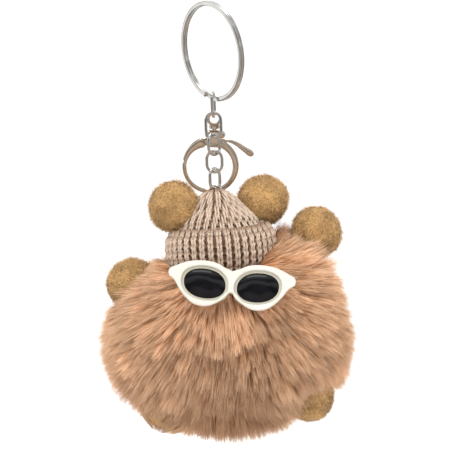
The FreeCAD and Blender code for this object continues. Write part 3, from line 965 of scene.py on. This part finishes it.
def knit_hat():
    crown_parts, height, column, row = [], 9.5, 2.6, 2.2
    while height < 25.4:
        radius = crown_radius(height) - 0.3
        stitches = max(6, round(2 * math.pi * radius / column))
        crown_parts.append(
            knit_course(
                lambda turn, level, h=height: crown_radius(h + level) - 0.35 - back_dent(turn, h + level),
                lambda turn, h=height: HAT_Z + h,
                stitches, row * 0.84, 0.48, 0.55 + rng.normal(0, 0.06), 0.42, samples=16,
            )
        )
        slope = 1.0 if height < 14 else 0.72
        height += row * slope
    verts, faces, uvs = join_arrays(crown_parts)
    crown = make_mesh("hat_crown_knit", verts, faces, YARN, uvs)
    # The dark crown shell: painted shade seen through the gaps between the stitches.
    profile = [(crown_radius(h) - 0.95, h) for h in np.linspace(0.3, 25.3, 30)]
    crown_shade_liner = revolve("hat_crown_shade_liner", profile, KNIT_SHADE_LINER)
    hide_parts("hat_crown")
    cuff_parts = []
    column, row, outer = 2.75, 2.4, 17.2 - 0.75
    stitches = round(2 * math.pi * outer / column)
    profile = [(0.9, 0.2), (0.2, 2.5), (0.0, 4.8), (0.05, 7.1), (0.3, 9.3), (1.3, 11.0), (2.9, 11.4)]

    def roll(turn):
        """The rolled lump at the cuff's right end."""
        away = (turn - math.radians(-8) + math.pi) % (2 * math.pi) - math.pi
        return np.exp(-((away / 0.30) ** 2))

    for inset, rise in profile:
        cuff_parts.append(
            knit_course(
                lambda turn, level, i=inset: outer - i + 0.12 * np.sin(3 * turn) + 0.9 * roll(turn),
                lambda turn, h=rise: (
                    HAT_Z + 0.6 + h + 0.35 * np.sin(2 * turn + 1.0) + 0.9 * roll(turn) * h / 11
                ),
                stitches, row * 0.80, 0.62, 0.5 + rng.normal(0, 0.07), 0.47, samples=18, sides=8,
            )
        )
    verts, faces, uvs = join_arrays(cuff_parts)
    cuff = make_mesh("hat_cuff_knit", verts, faces, YARN, uvs)
    # The dark cuff shell: painted shade seen through the gaps between the stitches.
    profile = [(14.4, 0.3), (15.2, 0.5), (15.7, 5.0), (15.5, 9.5), (14.4, 11.3), (13.6, 10.8)]
    cuff_shade_liner = revolve("hat_cuff_shade_liner", profile, KNIT_SHADE_LINER)
    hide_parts("hat_cuff")
    for piece in (crown, crown_shade_liner, cuff, cuff_shade_liner):
        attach(piece, "plush")


# ---------------------------------------------------------------- fur
def fur_field(count, draws):
    """Roots and outward directions over the backing, thinned under the hat."""
    out = unit(draws.normal(size=(count, 3)))
    root = CENTRE + out * SHAPE * HALF_WIDTH
    normal = unit(out / SHAPE)
    under_hat = (np.hypot(root[:, 0] - HAT_X, root[:, 1] - HAT_Y) < 13.0) & (root[:, 2] > CENTRE[2] + 10)
    keep = ~under_hat
    return root[keep], normal[keep], out[keep]


def grow(root, normal, out, draws):
    """Each strand's path: it leaves the backing, is combed away from the bridge of
    the sunglasses, droops, and hangs as a loose forelock under the sunglasses."""
    count, steps = len(root), 8
    x, y, z = (root - CENTRE).T
    parting = CENTRE + np.stack([0 * x + 1.0, 0 * x - 19.0, 12.0 + 9.0 * bell(x, 1.0, 9.0)], 1)
    comb = root - parting
    comb = comb - normal * (comb * normal).sum(1, keepdims=True)
    distance = np.linalg.norm(root - parting, axis=1)
    reach = 1.25 * bell(distance, 0, 24.0) + 0.25 * bell(distance, 20, 22.0)
    front = np.clip((-y - 2) / 8, 0, 1)
    # forelock marks the loose forelock and under the lower front beneath it: they shape the strands here, and
    # fur() also paints the forelock lighter and the strands under it darker, as painted light and shade.
    forelock = front * bell(x, 1.0, 11.0) * bell(z + 1.5 * value_noise(out, 8.0, 43), 11.5, 5.0)
    under = np.clip(-y / 8, 0, 1) * bell(x, 1.0, 17.0) / (1 + np.exp((z + 2.5) / 3.2))
    right_top = bell(x, 17.0, 9.0) * np.clip((z - 6) / 8, 0, 1)
    left_top = bell(x, -15.0, 9.0) * np.clip((z - 8) / 8, 0, 1)
    low = np.clip((-z - 8) / 10, 0, 1)
    length = 13.9 + 1.1 * value_noise(out, 5.0, 3) + draws.normal(0, 1.1, count)
    length = length * (1 - 0.17 * forelock + 0.06 * under + 0.52 * right_top - 0.10 * left_top - 0.12 * low)
    length = length * draws.choice([1.0, 0.88, 0.72], count, p=[0.62, 0.25, 0.13])
    edge = z + 2.2 * value_noise(out, 9.0, 41)
    middle_gap = bell(x, 1.0, 11.0) * bell(edge, -0.5, 3.6)
    side_gap = 0.7 * bell(x, 19.0, 5.0) * bell(edge, -11.0, 3.5)
    gap = front * (middle_gap + side_gap)
    length = length * (1 - 0.42 * gap)
    lean = normal * (1 + 0.35 * forelock - 0.45 * under)[:, None]
    lean = lean + unit(comb) * reach[:, None] * 0.85 + 0.07 * draws.normal(size=(count, 3))
    lean = lean + np.stack([-0.15 * right_top, 0 * x, 0.55 * right_top], 1)
    lean = unit(lean + 0.20 * swirl(out))
    s = np.linspace(0, 1, steps)[None, :, None]
    size = length[:, None, None]
    bend = 0.20 + 0.30 * forelock - 0.12 * right_top - 0.12 * low + 0.08 * draws.random(count)
    fall = np.stack([0 * x, 0 * x, -bend], 1)[:, None]
    return root[:, None] + size * (lean[:, None] * s + fall * s**2.2), forelock, under


def swirl(out):
    """A slowly turning sideways flow that parts the coat into tufts."""
    flow = np.stack([value_noise(out, 4.0, seed) for seed in (11, 12, 13)], 1)
    return flow - out * (flow * out).sum(1, keepdims=True)


def clump(paths, locks, draws, pull):
    """Draws the strands' outer parts towards the nearest lock's strand."""
    tree = KDTree(locks)
    picks = draws.choice(len(paths), locks, replace=False)
    for index, pick in enumerate(picks):
        tree.insert(paths[pick, 4], index)
    tree.balance()
    owner = np.array([tree.find(point)[1] for point in paths[:, 4]])
    guide = paths[picks[owner]]
    steps = paths.shape[1]
    weight = np.linspace(0, 1, steps)[None, :, None] ** 1.4
    strength = (pull * draws.uniform(0.35, 1.1, len(paths)))[:, None, None]
    strength = np.minimum(strength, 0.95)
    return paths + (guide - paths) * weight * strength, owner


def around_ball(paths, centre, radius):
    """Bends fur round a ball that lies half hidden in it."""
    away = paths - centre
    distance = np.linalg.norm(away, axis=-1, keepdims=True)
    return np.where(distance < radius, centre + away / np.maximum(distance, 1e-6) * radius, paths)


def inside_ball(paths, centre, radius):
    return (np.linalg.norm(paths - centre, axis=-1) < radius).any(1)


def clear_hat(paths):
    """Keeps fur off the cuff: what rises into it lies against its side instead."""
    rel = paths - np.array([HAT_X, HAT_Y, 0])
    flat = np.hypot(rel[..., 0], rel[..., 1])
    room = 17.7
    inside = (flat < room) & (paths[..., 2] > HAT_Z - 1.0)
    push = np.where(inside, room / np.maximum(flat, 1e-6), 1.0)
    moved = paths.copy()
    moved[..., 0] = HAT_X + rel[..., 0] * push
    moved[..., 1] = HAT_Y + rel[..., 1] * push
    return moved


def clear_glasses(paths):
    """Keeps fur behind the sunglasses."""
    right, back, up = glasses_axes()
    middle = (LENS_MIDS[0] + LENS_MIDS[1]) / 2
    rel = paths - middle
    x, y, z = rel @ right, rel @ back, rel @ up
    covered = (np.abs(x) < 18.2) & (z < 6.6) & (z > -6.4)
    short = np.where(covered & (y < 2.4), 2.4 - y, 0.0)
    return paths + short[..., None] * back


def fur():
    draws = np.random.default_rng(5)
    root, normal, out = fur_field(STRANDS, draws)
    paths, forelock, under = grow(root, normal, out, draws)
    paths, owner = clump(paths, 1500, draws, 0.32)
    paths, _ = clump(paths, 11000, draws, 0.42)
    paths = clear_glasses(clear_hat(paths))
    before_cuff = (paths[..., 2] > HAT_Z - 0.5) & (paths[..., 1] < HAT_Y - 8)
    over_cuff = before_cuff & (paths[..., 0] < HAT_X + 11.5) & (paths[..., 0] > HAT_X - 14.5)
    cut = over_cuff.any(1)
    paths = around_ball(paths, mid("left_foot"), 9.0)
    for node in POMS:
        cut |= inside_ball(paths, mid(node), 7.9)
    loose = draws.random(len(paths)) < 0.08
    jitter = draws.normal(0, 1, (len(paths), 1, 3)) * np.where(loose, 1.3, 0.25)[:, None, None]
    paths = paths + jitter * np.linspace(0, 1, paths.shape[1])[None, :, None] ** 2
    lock_tone = draws.normal(0, 0.15, owner.max() + 1)[owner]
    # Painted light and shade in the strand tones: the forelock's strands are lighter and the strands under it
    # darker; lock_tone and the last term vary at random.
    tones = 0.52 + lock_tone + 0.38 * forelock - 0.46 * under + draws.normal(0, 0.12, len(paths))
    widths = np.array([0.18, 0.18, 0.17, 0.16, 0.14, 0.115, 0.08, 0.03])[None]
    widths = widths * draws.uniform(0.7, 1.25, len(paths))[:, None]
    side = unit(normal + 0.8 * draws.normal(size=normal.shape))
    around = (np.arctan2(out[:, 1], out[:, 0]) + math.pi) / (2 * math.pi)
    sector = np.floor(around * SECTORS).astype(int) % SECTORS
    pieces = []
    for index in range(SECTORS):
        some = (sector == index) & ~cut
        pieces.append(ribbons(f"fur_{index + 1}", paths[some], widths[some], side[some], tones[some], FUR))
    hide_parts("fur_pile")
    for piece in pieces:
        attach(piece, "plush")


STRANDS = 240000
SECTORS = 10


def inner_pieces():
    finishes = {
        "stuffing_core": FILL, "hat_stuffing": FILL, "gather_thread": THREAD,
        "hanging_cord": THREAD, "cord_anchor_disc": IVORY,
    }
    for node, obj in frame["nodes"].items():
        if node.endswith("_stitch"):
            finishes[node] = THREAD
        if node in finishes:
            obj.data.materials.clear()
            obj.data.materials.append(finishes[node])


# ---------------------------------------------------------------- set and camera
def backdrop():
    """A pale floor that curves up into a wall behind the object."""
    material, tree, shader = new_material("pale_floor", Roughness=0.9, Specular_IOR_Level=0.1)
    shader.inputs["Emission Color"].default_value = (1, 1, 1, 1)
    shader.inputs["Emission Strength"].default_value = 0.35
    shade = noise(tree, 3.0, 2.0)
    tree.links.new(
        ramp(tree, shade, [(0.3, (0.93, 0.93, 0.93)), (0.7, (0.95, 0.95, 0.95))]), shader.inputs["Base Color"]
    )
    floor = cad_low[2] / MM - 22
    profile = [(-4000, 0), (2500, 0)]
    sweep = np.linspace(0.1, math.pi / 2, 16)
    profile += [(2500 + 900 * math.sin(t), 900 - 900 * math.cos(t)) for t in sweep]
    profile += [(3400, 4500)]
    verts, quads = [], []
    for y, z in profile:
        verts += [(-3500, y, floor + z), (3500, y, floor + z)]
    for step in range(len(profile) - 1):
        a = 2 * step
        quads.append((a, a + 1, a + 3, a + 2))
    floor_piece = make_mesh("backdrop", verts, quads, material)
    floor_piece.visible_glossy = False


def area_light(name, place, size, power, target):
    data = bpy.data.lights.new(name, "AREA")
    data.shape = "RECTANGLE"
    data.size, data.size_y = size
    data.energy = power
    light = bpy.data.objects.new(name, data)
    light.location = place
    light.rotation_euler = (Vector(target) - Vector(place)).to_track_quat("-Z", "Y").to_euler()
    bpy.context.scene.collection.objects.link(light)
    return light


def studio_world():
    """An even white light; only mirror reflections see the darker room in it."""
    world = bpy.data.worlds.new("studio")
    world.use_nodes = True
    tree = world.node_tree
    even = tree.nodes["Background"]
    even.inputs["Color"].default_value = (1, 1, 1, 1)
    even.inputs["Strength"].default_value = 0.68
    ray = add(tree, "ShaderNodeLightPath").outputs["Is Glossy Ray"]
    direction = add(tree, "ShaderNodeTexCoord").outputs["Generated"]
    height = add(tree, "ShaderNodeSeparateXYZ")
    tree.links.new(direction, height.inputs["Vector"])
    patches = noise(tree, 1.7, 1.0, direction)
    total = add(tree, "ShaderNodeValue").outputs[0]
    total.default_value = 0.30
    for source, weight in ((height.outputs["Y"], 0.42), (height.outputs["Z"], 0.38), (patches, 0.30)):
        step = add(tree, "ShaderNodeMath", operation="MULTIPLY_ADD")
        step.inputs[1].default_value = weight
        tree.links.new(source, step.inputs[0])
        tree.links.new(total, step.inputs[2])
        total = step.outputs["Value"]
    room = ramp(
        tree,
        total,
        [
            (0.00, (0.52, 0.45, 0.39)),
            (0.07, (0.40, 0.33, 0.27)),
            (0.13, (0.10, 0.08, 0.065)),
            (0.22, (0.03, 0.03, 0.035)),
            (0.29, (0.10, 0.105, 0.12)),
            (0.34, (0.85, 0.88, 0.92)),
            (0.42, (1.0, 1.0, 1.0)),
            (0.46, (0.16, 0.13, 0.11)),
            (0.52, (0.16, 0.13, 0.11)),
            (0.57, (1.0, 1.0, 0.99)),
            (0.68, (0.90, 0.90, 0.88)),
            (0.72, (0.20, 0.18, 0.16)),
            (0.79, (0.22, 0.19, 0.17)),
            (0.85, (0.95, 0.95, 0.94)),
        ],
    )
    mirror = add(tree, "ShaderNodeBackground", Strength=1.0)
    tree.links.new(room, mirror.inputs["Color"])
    blend = add(tree, "ShaderNodeMixShader")
    tree.links.new(ray, blend.inputs["Fac"])
    tree.links.new(even.outputs["Background"], blend.inputs[1])
    tree.links.new(mirror.outputs["Background"], blend.inputs[2])
    tree.links.new(blend.outputs["Shader"], tree.nodes["World Output"].inputs["Surface"])
    bpy.context.scene.world = world


def lights():
    studio_world()
    middle = Vector(CENTRE * MM)
    key = area_light("key", middle + Vector((-0.25, -0.75, 0.85)), (0.6, 0.5), 6.6, middle)
    fill = area_light("fill", middle + Vector((0.8, -0.6, 0.2)), (0.6, 0.6), 1.5, middle)
    area_light("top", middle + Vector((0.0, -0.1, 0.9)), (0.5, 0.5), 2.5, middle)
    key.visible_glossy = False
    fill.visible_glossy = False


def camera():
    """The photograph's view: level, from the front, far away, a little rolled."""
    roll = math.radians(4.2)
    width, distance, sensor = 142.0, 1000.0, 36.0
    data = bpy.data.cameras.new("camera")
    data.sensor_width = sensor
    data.lens = sensor * distance / width
    data.clip_end = 20
    cam = bpy.data.objects.new("camera", data)
    look = CENTRE + np.array([1.8, 0, 33.1])
    place = Vector((look + np.array([0, -distance, 0])) * MM)
    cam.matrix_world = Matrix(
        (
            (math.cos(roll), math.sin(roll), 0, place.x),
            (0, 0, -1, place.y),
            (-math.sin(roll), math.cos(roll), 0, place.z),
            (0, 0, 0, 1),
        )
    )
    bpy.context.scene.collection.objects.link(cam)
    bpy.context.scene.camera = cam


camera()
lights()
backdrop()
key_ring()
chain()
clasp()
fur_skin()
sunglasses()
for pom in POMS:
    felt_ball(pom)
knit_hat()
inner_pieces()
fur()
bpy.context.scene.view_settings.view_transform = "Standard"
